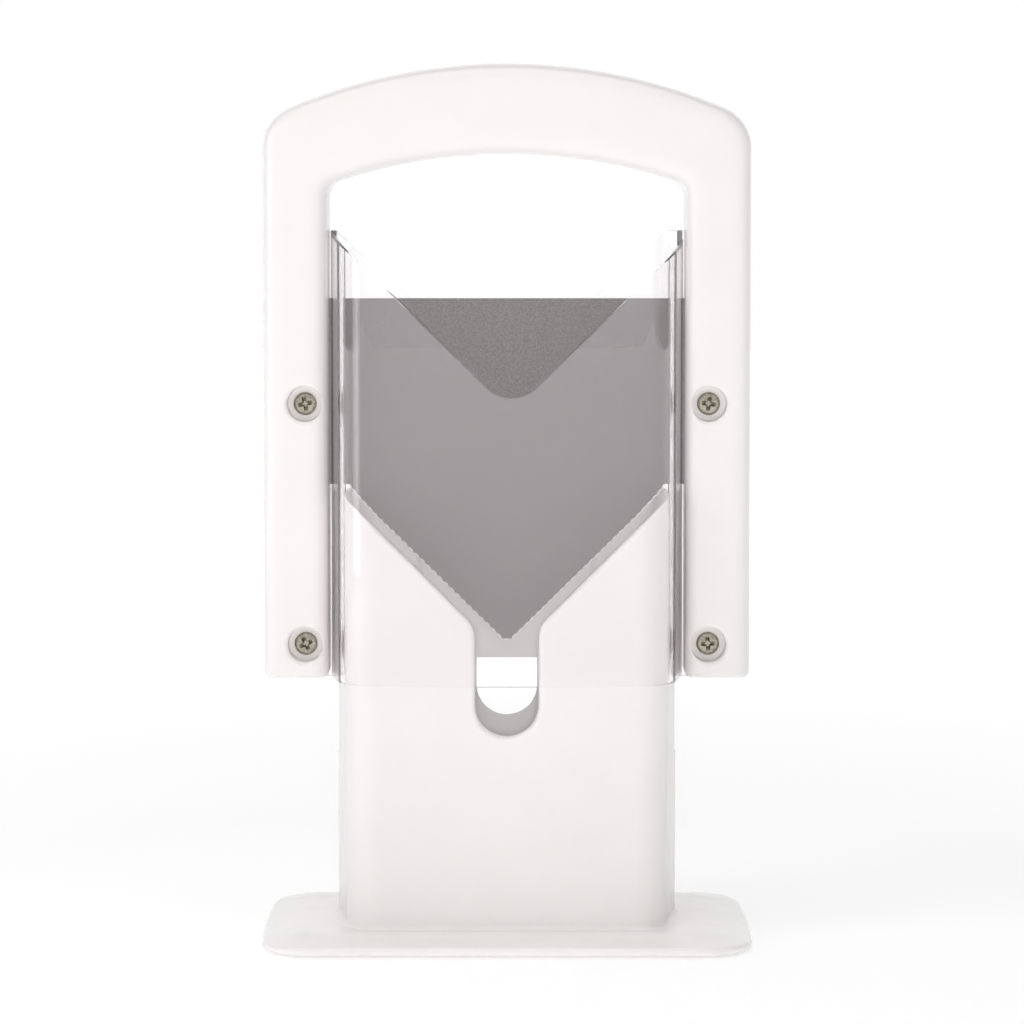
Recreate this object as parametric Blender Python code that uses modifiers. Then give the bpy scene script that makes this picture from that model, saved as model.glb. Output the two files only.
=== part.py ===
"""Guillotine-type bagel slicer, modelled in Blender.

A hollow white column on a wide foot holds a bagel upright. Over it slides a carrier: an inverted-U
handle in two halves, which clamp a V-edged blade between two clear shields with four screws.

Frame: origin on the ground under the middle of the foot, +X to the right, +Z up. The front is -Y.
The blade lies in the plane Y = 0. Units are metres. The carrier is drawn raised.
"""

import math

import bmesh
import bpy
from mathutils import Vector

MM = 0.001

# Driving dimensions of the holder.
FOOT_HALF_WIDTH = 89.5 * MM
FOOT_HALF_DEPTH = 51.0 * MM
FOOT_CORNER = 19.0 * MM
FOOT_BOW = 1.6 * MM                 # how far the plate's ends bow out between their corners
FOOT_BOW_ROUND = 60.0 * MM
PAD_LIFT = 0.6 * MM                 # how far the rubber pads lift the foot plate
PAD_RADIUS = 6.5 * MM
PAD_X = 71.0 * MM
PAD_Y = 34.0 * MM
UNDERSIDE_RECESS = 1.6 * MM         # depth of the hollow under the plate, which holds the pads
UNDERSIDE_BAND = 4.5 * MM           # width of the flat band round that hollow
FOOT_RIM = 3.0 * MM                 # height of the plate's upright rim
FOOT_TOP = 6.0 * MM                 # top of the plate where it meets the column
COLUMN_RIDGE_X = 62.3 * MM          # widest point of the column, at the blade's plane
COLUMN_CORNER_X = 56.8 * MM         # where the side planes meet the front plane
COLUMN_HALF_DEPTH = 29.0 * MM
COLUMN_CORNER = 12.0 * MM
COLUMN_FILLET = 2.2 * MM
COLUMN_TOP = 163.5 * MM
WALL = 2.8 * MM
NOTCH_APEX_FRONT = 104.5 * MM       # height where the notch's two slopes would meet
NOTCH_APEX_REAR = 109.5 * MM
NOTCH_ROUND = 8.0 * MM
SLOT_HALF_WIDTH = 11.4 * MM
SLOT_BOTTOM = 76.1 * MM
WINDOW_TOP = 98.0 * MM
BLADE_SLIT_HALF = 2.5 * MM
BLADE_SLIT_BOTTOM = 66.8 * MM
RIB_X = 32.5 * MM
RIB_THICKNESS = 2.0 * MM
RIB_TOP = 136.0 * MM
RIB_REACH = 13.0 * MM               # distance from the blade's plane to a rib's inner edge
RIB_FOOT_TOP = 57.0 * MM
RIB_FOOT_REACH = 2.0 * MM

# Driving dimensions of the carrier, drawn raised.
HANDLE_HALF_WIDTH = 89.0 * MM
HANDLE_INNER = 65.0 * MM
HANDLE_HALF_DEPTH = 14.0 * MM
HANDLE_TOP = 319.0 * MM
HANDLE_BAR = 32.6 * MM              # height of the grip bar at its middle
LEG_BOTTOM = 94.9 * MM
OUTER_ARCH = 204.0 * MM
INNER_ARCH = 197.0 * MM
OUTER_SHOULDER = 16.0 * MM
INNER_SHOULDER = 6.0 * MM
LEG_END_ROUND = 3.0 * MM
HANDLE_WALL = 4.0 * MM              # from the outline to the hollow inside
HANDLE_HOLLOW = 10.5 * MM           # depth of the hollow from the blade's plane
BOSS_REACH = 9.0 * MM               # solid plastic above and below each screw
SECTION_POWER = 2.8                 # roundness of the handle's oval section: 2 is an ellipse
SHIELD_TOP = 258.5 * MM
SHIELD_BOTTOM = 94.8 * MM
SHIELD_WALL = 2.2 * MM
SHIELD_CLEARANCE = 0.5 * MM         # between the shields and the column that they slide on
SHIELD_BOW = 2.6 * MM
SHIELD_NOTCH_FRONT = 193.5 * MM
SHIELD_NOTCH_REAR = 198.3 * MM
SHIELD_NOTCH_ROUND = 12.4 * MM
SHIELD_NOTCH_OFFSET = 1.7 * MM      # both shields have their notch this far off centre
BLADE_TOP = 233.7 * MM
BLADE_SHOULDER = 165.5 * MM
BLADE_TIP = 107.9 * MM
BLADE_TIP_HALF = 2.2 * MM
BLADE_HALF_WIDTH = 80.0 * MM
BLADE_THICKNESS = 1.0 * MM
BLADE_CORNER = 2.0 * MM
TOOTH_DEPTH = 0.55 * MM
TEETH_PER_SIDE = 27
SCREW_X = 73.5 * MM
SCREW_HEIGHTS = (195.5 * MM, 107.6 * MM)
HEAD_RADIUS = 4.2 * MM
HEAD_HEIGHT = 2.6 * MM
HEAD_CROWN = 1.3 * MM
RECESS_REACH = 2.4 * MM             # the cross recess: length and half width of a wing, and depth
RECESS_HALF = 0.45 * MM
RECESS_DEPTH = 1.5 * MM
SHANK_RADIUS = 2.0 * MM
SHANK_LENGTH = 17.2 * MM
SHANK_POINT = 1.5 * MM
SHANK_HOLE_END = 9.5 * MM           # end of the blind hole in the rear half
GAP = 0.3 * MM

# Worked-out dimensions.
HANDLE_UNDERSIDE = HANDLE_TOP - HANDLE_BAR
LEG_HALF = (HANDLE_HALF_WIDTH - HANDLE_INNER) / 2
FLANGE_INNER = BLADE_THICKNESS / 2 + GAP
FLANGE_OUTER = FLANGE_INNER + SHIELD_WALL
FLANGE_END = BLADE_HALF_WIDTH + 0.5 * MM
CLEAR_HOLE = SHANK_RADIUS + GAP
COUNTERBORE_RADIUS = 6.4 * MM
COUNTERBORE_FLOOR = 8.0 * MM        # distance of the counterbore's floor from the blade's plane
HEAD_SEAT = COUNTERBORE_FLOOR + GAP
UNDERSIDE = PAD_LIFT + UNDERSIDE_RECESS
POCKET_FLOOR = FOOT_TOP - 2.0 * MM
SIDE_SLOPE = (COLUMN_RIDGE_X - COLUMN_CORNER_X) / COLUMN_HALF_DEPTH


# ---------------------------------------------------------------- scene helpers

def clear_scene():
    for obj in list(bpy.data.objects):
        bpy.data.objects.remove(obj)


def new_collection(name):
    collection = bpy.data.collections.new(name)
    bpy.context.scene.collection.children.link(collection)
    return collection


def make_material(name, color, roughness, metallic=0.0, alpha=1.0):
    material = bpy.data.materials.new(name)
    material.use_nodes = True
    shader = material.node_tree.nodes["Principled BSDF"]
    shader.inputs["Base Color"].default_value = (*color, 1.0)
    shader.inputs["Roughness"].default_value = roughness
    shader.inputs["Metallic"].default_value = metallic
    shader.inputs["Alpha"].default_value = alpha
    return material


def make_object(name, bm, collection, material=None, smooth_angle=35.0):
    bmesh.ops.remove_doubles(bm, verts=bm.verts, dist=1e-6)
    bmesh.ops.recalc_face_normals(bm, faces=bm.faces)
    mesh = bpy.data.meshes.new(name)
    bm.to_mesh(mesh)
    bm.free()
    mesh.shade_smooth()
    mesh.set_sharp_from_angle(angle=math.radians(smooth_angle))
    obj = bpy.data.objects.new(name, mesh)
    collection.objects.link(obj)
    if material:
        mesh.materials.append(material)
    return obj


def make_copy(name, mesh, place):
    """Another object with the same mesh, at its own place."""
    obj = bpy.data.objects.new(name, mesh)
    PARTS.objects.link(obj)
    obj.location = place
    return obj


def make_cutter(name, bm):
    cutter = make_object(name, bm, CUTTERS)
    cutter.hide_render = True
    cutter.display_type = "WIRE"
    return cutter


def boolean(obj, tool, operation="DIFFERENCE"):
    modifier = obj.modifiers.new(tool.name, "BOOLEAN")
    modifier.operation = operation
    modifier.object = tool


# ---------------------------------------------------------------- outline helpers

def arc(center, radius, start, end, steps):
    """Points on an arc, from the start angle to the end angle in degrees."""
    points = []
    for i in range(steps + 1):
        angle = math.radians(start + (end - start) * i / steps)
        points.append((center[0] + radius * math.cos(angle), center[1] + radius * math.sin(angle)))
    return points


def round_corner(before, corner, after, radius, steps):
    """Arc that rounds the corner between two straight lines."""
    corner = Vector(corner)
    to_before = (Vector(before) - corner).normalized()
    to_after = (Vector(after) - corner).normalized()
    half = to_before.angle(to_after) / 2
    reach = radius / math.tan(half)
    start = corner + to_before * reach
    end = corner + to_after * reach
    center = corner + (to_before + to_after).normalized() * (radius / math.sin(half))
    first = (start - center).normalized()
    turn = first.angle_signed((end - center).normalized())
    points = []
    for i in range(steps + 1):
        angle = -turn * i / steps
        direction = Vector((first.x * math.cos(angle) - first.y * math.sin(angle),
                            first.x * math.sin(angle) + first.y * math.cos(angle)))
        points.append(tuple(center + direction * radius))
    return points


def rounded_polygon(corners, steps=6):
    """Closed outline through (x, y, radius) corners, each rounded by its own radius."""
    points = []
    for i, (x, y, radius) in enumerate(corners):
        before = corners[i - 1][:2]
        after = corners[(i + 1) % len(corners)][:2]
        if radius:
            points += round_corner(before, (x, y), after, radius, steps)
        else:
            points.append((x, y))
    return points


def mirrored(half):
    """Closed outline from its right half, listed from one end on the middle line to the other."""
    left = [(-x, y) for x, y in reversed(half) if abs(x) > 1e-7]
    return half + left


def prism(points, low, high, axis):
    """Solid of a flat outline between two levels. Axis Z takes (x, y), axis Y takes (x, z)."""
    bm = bmesh.new()
    if axis == "Z":
        verts = [bm.verts.new((x, y, low)) for x, y in points]
        step = Vector((0, 0, high - low))
    else:
        verts = [bm.verts.new((x, low, z)) for x, z in points]
        step = Vector((0, high - low, 0))
    face = bm.faces.new(verts)
    extruded = bmesh.ops.extrude_face_region(bm, geom=[face])
    moved = [item for item in extruded["geom"] if isinstance(item, bmesh.types.BMVert)]
    bmesh.ops.translate(bm, verts=moved, vec=step)
    return bm


def loft(rings):
    """Solid skinned over rings of 3D points, all with the same number of points."""
    bm = bmesh.new()
    rows = [[bm.verts.new(point) for point in ring] for ring in rings]
    count = len(rows[0])
    for low, high in zip(rows, rows[1:]):
        for i in range(count):
            j = (i + 1) % count
            bm.faces.new((low[i], low[j], high[j], high[i]))
    bm.faces.new(list(reversed(rows[0])))
    bm.faces.new(rows[-1])
    return bm


def box(low, high):
    size = Vector(high) - Vector(low)
    bm = bmesh.new()
    made = bmesh.ops.create_cube(bm, size=1.0)
    bmesh.ops.scale(bm, verts=made["verts"], vec=size)
    bmesh.ops.translate(bm, verts=made["verts"], vec=Vector(low) + size / 2)
    return bm


def box_between(a, b):
    """Box with two opposite corners, in any order."""
    return box([min(pair) for pair in zip(a, b)], [max(pair) for pair in zip(a, b)])


def cylinder_y(x, z, radius, y0, y1, segments=24):
    """Round bar along Y."""
    bm = bmesh.new()
    made = bmesh.ops.create_cone(bm, cap_ends=True, segments=segments, radius1=radius,
                                 radius2=radius, depth=abs(y1 - y0))
    bmesh.ops.rotate(bm, verts=made["verts"], matrix=ROTATE_Z_TO_Y)
    bmesh.ops.translate(bm, verts=made["verts"], vec=(x, (y0 + y1) / 2, z))
    return bm


# ---------------------------------------------------------------- holder

def column_outline(inset=0.0, ridge_round=4.0 * MM):
    """Plan of the column: flat front and back, and sides that rise to a ridge at the blade."""
    side = inset * math.hypot(1.0, SIDE_SLOPE)
    y = COLUMN_HALF_DEPTH - inset
    corner_x = COLUMN_RIDGE_X - side - SIDE_SLOPE * y
    corner = COLUMN_CORNER - inset
    ridge = COLUMN_RIDGE_X - side
    return rounded_polygon([(ridge, 0.0, ridge_round), (corner_x, y, corner), (-corner_x, y, corner),
                            (-ridge, 0.0, ridge_round), (-corner_x, -y, corner),
                            (corner_x, -y, corner)])


def foot_outline(inset):
    """Plan of the foot plate: a rounded rectangle whose ends bow out slightly."""
    x = FOOT_HALF_WIDTH - inset
    y = FOOT_HALF_DEPTH - inset
    end_x = x - FOOT_BOW
    corner = max(FOOT_CORNER - inset, 4.0 * MM)
    return rounded_polygon([(x, 0.0, FOOT_BOW_ROUND), (end_x, y, corner), (-end_x, y, corner),
                            (-x, 0.0, FOOT_BOW_ROUND), (-end_x, -y, corner), (end_x, -y, corner)])


def foot_plate():
    """Domed plate as rings of (inset, height), from its underside to the column's foot."""
    base = PAD_LIFT
    rings = [(1.2 * MM, base), (0.3 * MM, base + 0.5 * MM), (0.0, base + 1.2 * MM),
             (0.3 * MM, base + 2.0 * MM), (1.2 * MM, base + FOOT_RIM - 0.3 * MM),
             (3.0 * MM, base + FOOT_RIM), (8.0 * MM, 4.6 * MM), (15.0 * MM, 5.5 * MM),
             (21.0 * MM, FOOT_TOP)]
    return loft([[(x, y, z) for x, y in foot_outline(inset)] for inset, z in rings])


def column_body():
    """Column with a small fillet at its foot, as rings of (outset, height)."""
    steps = 4
    rings = [(COLUMN_FILLET, FOOT_TOP - 2.0 * MM), (COLUMN_FILLET, FOOT_TOP - 0.6 * MM)]
    for i in range(steps + 1):
        angle = math.radians(90.0 * i / steps)
        rings.append((COLUMN_FILLET * (1 - math.sin(angle)),
                      FOOT_TOP + COLUMN_FILLET * (1 - math.cos(angle))))
    rings.append((0.0, COLUMN_TOP))
    return loft([[(x, y, z) for x, y in column_outline(-outset)] for outset, z in rings])


def notch_outline(apex):
    """V opening with a round-bottomed slot under it, as an (x, z) outline."""
    top = COLUMN_TOP + 20.0 * MM
    wide = top - apex
    neck = apex + SLOT_HALF_WIDTH
    centre = SLOT_BOTTOM + SLOT_HALF_WIDTH
    half = arc((0.0, centre), SLOT_HALF_WIDTH, -90.0, 0.0, 10)
    half += round_corner((SLOT_HALF_WIDTH, centre), (SLOT_HALF_WIDTH, neck), (wide, top),
                         NOTCH_ROUND, 5)
    half.append((wide, top))
    return mirrored(half)


def plain_notch_outline(apex):
    """V opening with a rounded bottom, as an (x, z) outline."""
    top = COLUMN_TOP + 20.0 * MM
    wide = top - apex
    return rounded_polygon([(-wide, top, 0.0), (0.0, apex, NOTCH_ROUND), (wide, top, 0.0)], steps=8)


def window_outline():
    """Flat-topped opening in the rear wall, in line with the front slot."""
    centre = SLOT_BOTTOM + SLOT_HALF_WIDTH
    half = arc((0.0, centre), SLOT_HALF_WIDTH, -90.0, 0.0, 10)
    half.append((SLOT_HALF_WIDTH, WINDOW_TOP))
    return mirrored(half)


def guide_ribs():
    """Two ribs inside each wall. Their tops taper the pocket, and the bagel rests on their feet."""
    wall = COLUMN_HALF_DEPTH - WALL + 0.5 * MM
    foot = POCKET_FLOOR - 0.4 * MM
    profile = [(wall, foot), (RIB_FOOT_REACH, foot), (RIB_FOOT_REACH, RIB_FOOT_TOP),
               (RIB_REACH, RIB_FOOT_TOP), (wall - 2.2 * MM, RIB_TOP - 2.5 * MM), (wall, RIB_TOP)]
    bm = bmesh.new()
    for side in (-1, 1):
        for face in (-1, 1):
            x = side * RIB_X - RIB_THICKNESS / 2
            verts = [bm.verts.new((x, face * y, z)) for y, z in profile]
            base = bm.faces.new(verts)
            extruded = bmesh.ops.extrude_face_region(bm, geom=[base])
            moved = [item for item in extruded["geom"] if isinstance(item, bmesh.types.BMVert)]
            bmesh.ops.translate(bm, verts=moved, vec=(RIB_THICKNESS, 0, 0))
    return bm


def make_holder(material):
    holder = make_object("holder", foot_plate(), PARTS, material)
    boolean(holder, make_cutter("column_body", column_body()), "UNION")
    pocket = prism(column_outline(WALL), POCKET_FLOOR, COLUMN_TOP + MM, "Z")
    boolean(holder, make_cutter("pocket", pocket))
    boolean(holder, make_cutter("guide_ribs", guide_ribs()), "UNION")
    middle = 5.0 * MM
    outside = COLUMN_HALF_DEPTH + 4.0 * MM
    front = prism(notch_outline(NOTCH_APEX_FRONT), -outside, -middle, "Y")
    boolean(holder, make_cutter("front_notch", front))
    rear = prism(plain_notch_outline(NOTCH_APEX_REAR), middle, outside, "Y")
    boolean(holder, make_cutter("rear_notch", rear))
    window = prism(window_outline(), middle, outside, "Y")
    boolean(holder, make_cutter("rear_window", window))
    past = COLUMN_RIDGE_X + 8.0 * MM
    slit = box((-past, -BLADE_SLIT_HALF, BLADE_SLIT_BOTTOM), (past, BLADE_SLIT_HALF, COLUMN_TOP + MM))
    boolean(holder, make_cutter("blade_slits", slit))
    recess = prism(foot_outline(UNDERSIDE_BAND), -MM, UNDERSIDE, "Z")
    boolean(holder, make_cutter("underside_recess", recess))


def make_feet(material):
    """Four round pads, which share one mesh."""
    height = UNDERSIDE - GAP
    pad = bmesh.new()
    made = bmesh.ops.create_cone(pad, cap_ends=True, segments=24, radius1=PAD_RADIUS,
                                 radius2=PAD_RADIUS, depth=height)
    bmesh.ops.translate(pad, verts=made["verts"], vec=(0, 0, height / 2))
    rim = [edge for edge in pad.edges if max(v.co.z for v in edge.verts) < 1e-6]
    bmesh.ops.bevel(pad, geom=rim, offset=0.4 * MM, segments=1, affect="EDGES")
    places = [(side * PAD_X, face * PAD_Y, 0.0) for side in (-1, 1) for face in (-1, 1)]
    first = make_object("foot_1", pad, PARTS, material)
    first.location = places[0]
    for number, place in enumerate(places[1:], start=2):
        make_copy(f"foot_{number}", first.data, place)


# ---------------------------------------------------------------- handle

def handle_outline(inset, bottom):
    """Inverted U. Insetting it keeps the centres of its arcs and changes their radii."""
    outer_center = HANDLE_TOP - OUTER_ARCH
    inner_center = HANDLE_UNDERSIDE - INNER_ARCH
    outer_x = HANDLE_HALF_WIDTH - OUTER_SHOULDER
    inner_x = HANDLE_INNER - INNER_SHOULDER
    outer_z = outer_center + math.sqrt((OUTER_ARCH - OUTER_SHOULDER) ** 2 - outer_x ** 2)
    inner_z = inner_center + math.sqrt((INNER_ARCH - INNER_SHOULDER) ** 2 - inner_x ** 2)
    outer_turn = math.degrees(math.atan2(outer_z - outer_center, outer_x))
    inner_turn = math.degrees(math.atan2(inner_z - inner_center, inner_x))
    foot = max(LEG_END_ROUND - inset, 0.4 * MM)
    half = arc((0.0, inner_center), INNER_ARCH + inset, 90.0, inner_turn, 9)
    half += arc((inner_x, inner_z), INNER_SHOULDER + inset, inner_turn, 0.0, 5)[1:]
    half += arc((HANDLE_INNER + inset + foot, bottom + foot), foot, 180.0, 270.0, 3)
    half += arc((HANDLE_HALF_WIDTH - inset - foot, bottom + foot), foot, 270.0, 360.0, 3)
    half += arc((outer_x, outer_z), OUTER_SHOULDER - inset, 0.0, outer_turn, 6)
    half += arc((0.0, outer_center), OUTER_ARCH - inset, outer_turn, 90.0, 9)[1:]
    return mirrored(half)


def handle_half_solid(side):
    """Half of the handle, from the split plane outwards: its section is half of a full oval."""
    rings = [(0.0, GAP / 2)]
    steps = 8
    power = 2 / SECTION_POWER
    for i in range(1, steps + 1):
        angle = math.radians(86.0 * i / steps)
        inset = LEG_HALF * (1 - math.cos(angle) ** power)
        rings.append((inset, HANDLE_HALF_DEPTH * math.sin(angle) ** power))
    solid = []
    for inset, depth in rings:
        outline = handle_outline(inset, LEG_BOTTOM + 0.35 * inset)
        solid.append([(x, side * depth, z) for x, z in outline])
    return loft(solid)


def make_handle_half(name, side, material):
    half = make_object(name, handle_half_solid(side), PARTS, material)
    half.parent = CARRIER
    upper, lower = SCREW_HEIGHTS
    arch = prism(handle_outline(HANDLE_WALL, upper + BOSS_REACH), 0.0, side * HANDLE_HOLLOW, "Y")
    boolean(half, make_cutter(f"{name}_arch_hollow", arch))
    for edge in (-1, 1):
        tag = "left" if edge < 0 else "right"
        hollow = box_between((edge * (HANDLE_INNER + HANDLE_WALL), 0.0, lower + BOSS_REACH),
                             (edge * (HANDLE_HALF_WIDTH - HANDLE_WALL), side * HANDLE_HOLLOW,
                              upper - BOSS_REACH))
        boolean(half, make_cutter(f"{name}_leg_hollow_{tag}", hollow))
        seat = box_between((edge * (HANDLE_INNER - 2.0 * MM), -side * MM, LEG_BOTTOM - 5.0 * MM),
                           (edge * (FLANGE_END + GAP), side * (FLANGE_OUTER + GAP), SHIELD_TOP + GAP))
        boolean(half, make_cutter(f"{name}_flange_seat_{tag}", seat))
        for level, z in zip(("upper", "lower"), SCREW_HEIGHTS):
            cut_screw_hole(half, f"{name}_{level}_{tag}", edge * SCREW_X, z, side)


def cut_screw_hole(half, name, x, z, side):
    """The front half has a clear hole and a counterbore, and the rear half a blind hole."""
    if side < 0:
        hole = cylinder_y(x, z, CLEAR_HOLE, -HANDLE_HALF_DEPTH, MM)
        boolean(half, make_cutter(f"{name}_hole", hole))
        bore = cylinder_y(x, z, COUNTERBORE_RADIUS, -HANDLE_HALF_DEPTH - MM,
                          -COUNTERBORE_FLOOR, segments=32)
        boolean(half, make_cutter(f"{name}_counterbore", bore))
    else:
        hole = cylinder_y(x, z, CLEAR_HOLE, -MM, SHANK_HOLE_END)
        boolean(half, make_cutter(f"{name}_hole", hole))


# ---------------------------------------------------------------- blade and shields

def scalloped_edge():
    """Right-hand cutting edge from the tip to the shoulder: shallow hollows between teeth."""
    start = Vector((BLADE_TIP_HALF, BLADE_TIP))
    end = Vector((BLADE_TIP_HALF + (BLADE_SHOULDER - BLADE_TIP) / 0.985, BLADE_SHOULDER))
    along = (end - start) / TEETH_PER_SIDE
    inward = Vector((-along.y, along.x)).normalized()
    points = [tuple(start)]
    for tooth in range(TEETH_PER_SIDE):
        for part, rise in ((0.25, 0.75), (0.5, 1.0), (0.75, 0.75), (1.0, 0.0)):
            point = start + along * (tooth + part) + inward * TOOTH_DEPTH * rise
            points.append(tuple(point))
    return points


def make_blade(material):
    corner_x = BLADE_HALF_WIDTH - BLADE_CORNER
    right = [(0.0, BLADE_TIP)] + scalloped_edge()
    right += arc((corner_x, BLADE_SHOULDER + BLADE_CORNER), BLADE_CORNER, -90.0, 0.0, 3)
    right += arc((corner_x, BLADE_TOP - BLADE_CORNER), BLADE_CORNER, 0.0, 90.0, 3)
    right.append((0.0, BLADE_TOP))
    half = BLADE_THICKNESS / 2
    blade = make_object("blade", prism(mirrored(right), -half, half, "Y"), PARTS, material)
    blade.parent = CARRIER
    for edge in (-1, 1):
        hole = cylinder_y(edge * SCREW_X, SCREW_HEIGHTS[0], CLEAR_HOLE, -MM, MM)
        boolean(blade, make_cutter(f"blade_hole_{edge}", hole))


def shield_path(side):
    """Plan of a shield's inner surface, from its right flange round to its left flange."""
    front_y = COLUMN_HALF_DEPTH + SHIELD_CLEARANCE
    side_x = COLUMN_RIDGE_X + SHIELD_CLEARANCE
    start = (side_x - SIDE_SLOPE * FLANGE_INNER, FLANGE_INNER)
    corner = (side_x - SIDE_SLOPE * front_y, front_y)
    corner_arc = round_corner(start, corner, (0.0, front_y), COLUMN_CORNER + SHIELD_CLEARANCE, 7)
    half = [(FLANGE_END, FLANGE_INNER), start] + corner_arc
    bow_x = corner_arc[-1][0]
    steps = 5
    for i in range(1, steps + 1):
        x = bow_x * (1 - i / steps)
        half.append((x, front_y + SHIELD_BOW * (1 - (x / bow_x) ** 2)))
    path = half + [(-x, y) for x, y in reversed(half[:-1])]
    return [(x, side * y) for x, y in path]


def offset_path(path, distance):
    """The path moved sideways by a distance, square to its runs, with mitred corners."""
    moved = []
    for i, point in enumerate(path):
        here = Vector(point)
        before = (here - Vector(path[i - 1])).normalized() if i else None
        after = (Vector(path[i + 1]) - here).normalized() if i < len(path) - 1 else None
        before = before or after
        after = after or before
        mitre = Vector((-before.y - after.y, before.x + after.x)).normalized()
        scale = 1 / mitre.dot(Vector((-after.y, after.x)))
        moved.append(tuple(here + mitre * distance * scale))
    return moved


def make_shield(name, side, apex, material):
    inner = shield_path(side)
    outer = offset_path(inner, side * -SHIELD_WALL)
    outline = inner + list(reversed(outer))
    shield = make_object(name, prism(outline, SHIELD_BOTTOM, SHIELD_TOP, "Z"), PARTS, material)
    shield.parent = CARRIER
    top = SHIELD_TOP + 10.0 * MM
    wide = top - apex
    shift = -side * SHIELD_NOTCH_OFFSET
    notch = rounded_polygon([(shift - wide, top, 0.0), (shift, apex, SHIELD_NOTCH_ROUND),
                             (shift + wide, top, 0.0)], steps=10)
    cutter = prism(notch, side * (FLANGE_OUTER + 0.5 * MM), side * (COLUMN_HALF_DEPTH + 12.0 * MM), "Y")
    boolean(shield, make_cutter(f"{name}_notch", cutter))
    for edge in (-1, 1):
        for z in SCREW_HEIGHTS:
            hole = cylinder_y(edge * SCREW_X, z, CLEAR_HOLE, 0.0, side * (FLANGE_OUTER + MM))
            boolean(shield, make_cutter(f"{name}_hole_{edge}_{round(z / MM)}", hole))


# ---------------------------------------------------------------- screws

def screw_profile():
    """Half section of a pan-head screw as (radius, height above the head's seat), top to bottom."""
    steps = 4
    profile = []
    for i in range(steps + 1):
        angle = math.radians(90.0 * i / steps)
        profile.append((HEAD_RADIUS * math.sin(angle),
                        HEAD_HEIGHT - HEAD_CROWN * (1 - math.cos(angle))))
    profile += [(HEAD_RADIUS, 0.0), (SHANK_RADIUS, 0.0), (SHANK_RADIUS, SHANK_POINT - SHANK_LENGTH),
                (SHANK_RADIUS / 3, -SHANK_LENGTH), (0.0, -SHANK_LENGTH)]
    return profile


def turned_screw(material):
    """The profile turned about Z, with its cross recess cut, as a finished mesh."""
    bm = bmesh.new()
    verts = [bm.verts.new((radius, 0.0, height)) for radius, height in screw_profile()]
    for pair in zip(verts, verts[1:]):
        bm.edges.new(pair)
    mesh = bpy.data.meshes.new("screw_profile")
    bm.to_mesh(mesh)
    bm.free()
    blank = bpy.data.objects.new("screw_blank", mesh)
    CUTTERS.objects.link(blank)
    turn = blank.modifiers.new("turn", "SCREW")
    turn.steps = 20
    turn.render_steps = 20
    turn.use_merge_vertices = True
    turn.merge_threshold = 0.00001
    for name, wide, deep in (("wing_x", RECESS_REACH, RECESS_HALF), ("wing_y", RECESS_HALF, RECESS_REACH)):
        wing = box((-wide, -deep, HEAD_HEIGHT - RECESS_DEPTH), (wide, deep, HEAD_HEIGHT + MM))
        boolean(blank, make_cutter(f"recess_{name}", wing))
    bpy.context.view_layer.update()
    depsgraph = bpy.context.evaluated_depsgraph_get()
    mesh = bpy.data.meshes.new_from_object(blank.evaluated_get(depsgraph))
    bpy.data.objects.remove(blank)
    mesh.materials.clear()
    mesh.materials.append(material)
    return mesh


def make_screws(material):
    """Four screws that share one mesh, laid along Y with their heads in front."""
    mesh = turned_screw(material)
    places = [(edge * SCREW_X, -HEAD_SEAT, z) for z in SCREW_HEIGHTS for edge in (-1, 1)]
    for number, place in enumerate(places, start=1):
        screw = make_copy(f"screw_{number}", mesh, place)
        screw.rotation_euler = (math.radians(90.0), 0.0, 0.0)
        screw.parent = CARRIER


# ---------------------------------------------------------------- build

def main():
    white = make_material("white_abs", (0.86, 0.85, 0.84), 0.25)
    handle_white = make_material("handle_abs", (0.88, 0.87, 0.86), 0.25)
    clear = make_material("clear_acrylic", (0.95, 0.94, 0.95), 0.05, alpha=0.25)
    coated = make_material("coated_steel", (0.26, 0.25, 0.25), 0.45, metallic=0.4)
    plated = make_material("plated_steel", (0.62, 0.60, 0.56), 0.25, metallic=1.0)
    rubber = make_material("pad_rubber", (0.55, 0.55, 0.55), 0.8)
    make_holder(white)
    make_feet(rubber)
    make_handle_half("handle_front", -1, handle_white)
    make_handle_half("handle_rear", 1, handle_white)
    make_blade(coated)
    make_shield("shield_front", -1, SHIELD_NOTCH_FRONT, clear)
    make_shield("shield_rear", 1, SHIELD_NOTCH_REAR, clear)
    make_screws(plated)


clear_scene()
PARTS = new_collection("bagel_slicer")
CUTTERS = new_collection("cutters")
CARRIER = bpy.data.objects.new("carrier_slide", None)
PARTS.objects.link(CARRIER)
ROTATE_Z_TO_Y = Vector((0, 0, 1)).rotation_difference(Vector((0, -1, 0))).to_matrix()
main()
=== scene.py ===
"""Looks of the guillotine-type bagel slicer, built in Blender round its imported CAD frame.

Every CAD node is replaced by a finer piece of the same size and place: a moulded holder with soft
edges, an oval handle in two shells, bent clear shields, a scalloped blade and Phillips screws.
Units are metres, +Z is up, and the front is -Y. The blade lies in the plane Y = 0.
"""

import math

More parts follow.
